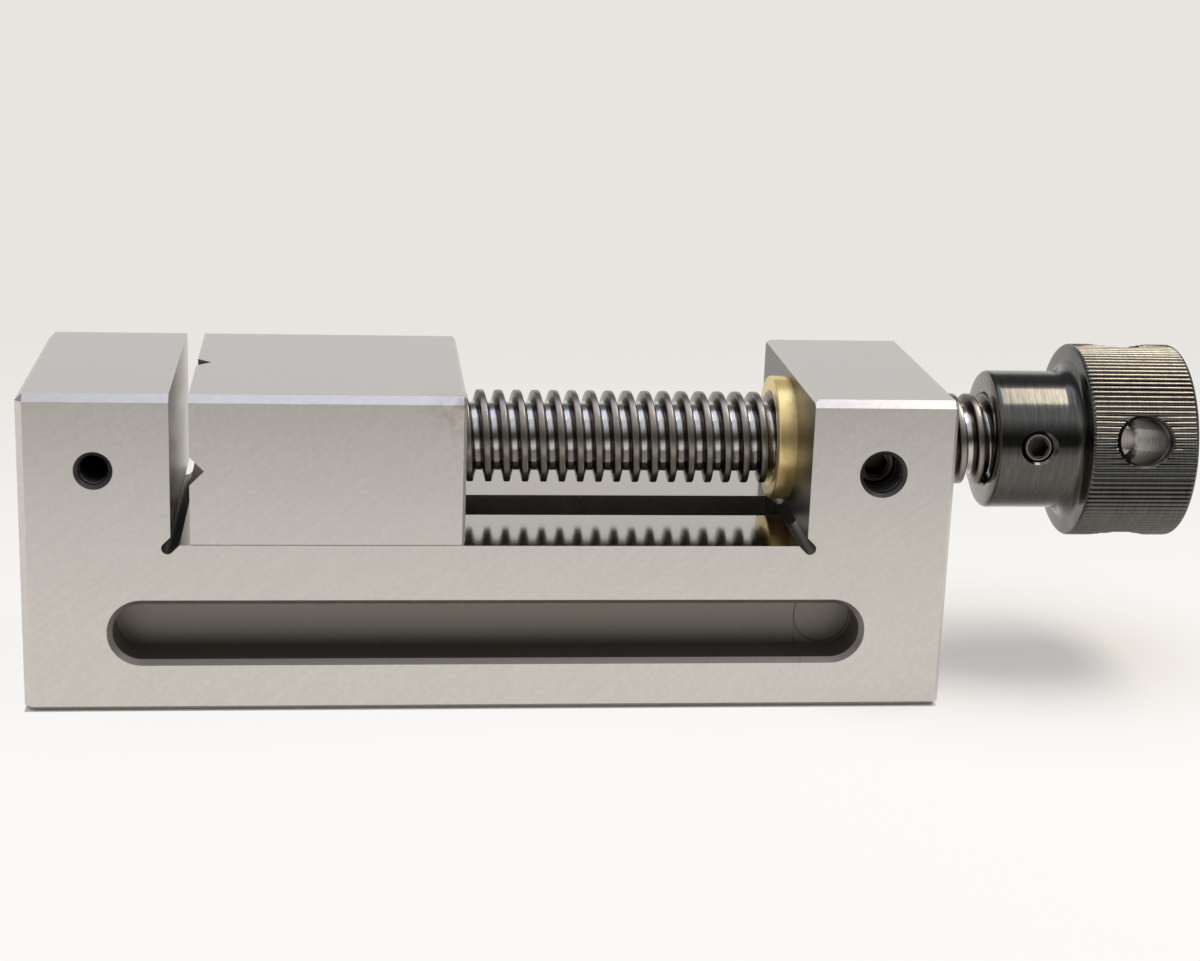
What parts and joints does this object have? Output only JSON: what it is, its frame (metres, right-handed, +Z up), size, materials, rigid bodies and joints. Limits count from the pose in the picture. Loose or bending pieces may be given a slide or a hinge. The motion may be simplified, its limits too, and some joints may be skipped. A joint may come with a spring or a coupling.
{
  "type": "toolmakers vise",
  "caption": "Ground steel toolmaker's vise with a screw-driven moving jaw, crossed vee grooves, side clamping slots and a knurled hand knob.",
  "frame": {"origin": "on the ground underside, on the centre plane, straight below the clamping face of the fixed jaw", "axes": "+X from the fixed jaw to the hand knob, +Y across the jaws away from the threaded holes, +Z up"},
  "size_m": [0.3155, 0.0762, 0.0926],
  "materials": {
    "ground_steel": "surface ground",
    "turned_steel": "turned, bright",
    "brass": "turned",
    "black_oxide_steel": "black oxide, worn bright on the knurl",
    "black_screw_steel": "black oxide",
    "hardened_steel": "hardened and ground"
  },
  "bodies": {
    "base": {"vise_body": "ground_steel", "lead_nut": "brass", "nut_lock_screw": "black_screw_steel"},
    "jaw": {"moving_jaw": "ground_steel", "guide_tongue": "hardened_steel", "tongue_dowel_front": "hardened_steel", "tongue_dowel_rear": "hardened_steel", "keeper_plate": "hardened_steel", "keeper_screw_front": "black_screw_steel", "keeper_screw_rear": "black_screw_steel", "spring_washer_front_upper": "hardened_steel", "spring_washer_front_lower": "hardened_steel", "spring_washer_rear_upper": "hardened_steel", "spring_washer_rear_lower": "hardened_steel", "thrust_pad": "hardened_steel", "nose_pin_near": "hardened_steel", "nose_pin_far": "hardened_steel"},
    "spindle": {"lead_screw": "turned_steel", "thrust_ball": "hardened_steel", "hand_knob": "black_oxide_steel", "knob_set_screw": "black_screw_steel"}
  },
  "joints": [
    {"name": "jaw_slide", "type": "slide", "parent": "base", "child": "jaw", "axis": [1, 0, 0], "range_m": [-0.005, 0.085]},
    {"name": "screw_turn", "type": "hinge", "parent": "jaw", "child": "spindle", "pos_m": [0, 0, 0.0656], "axis": [1, 0, 0], "range_deg": [-355, 6025]}
  ],
  "couplings": [
    {"joint": "screw_turn", "follows": "jaw_slide", "rad_per_m": 1236.8}
  ]
}
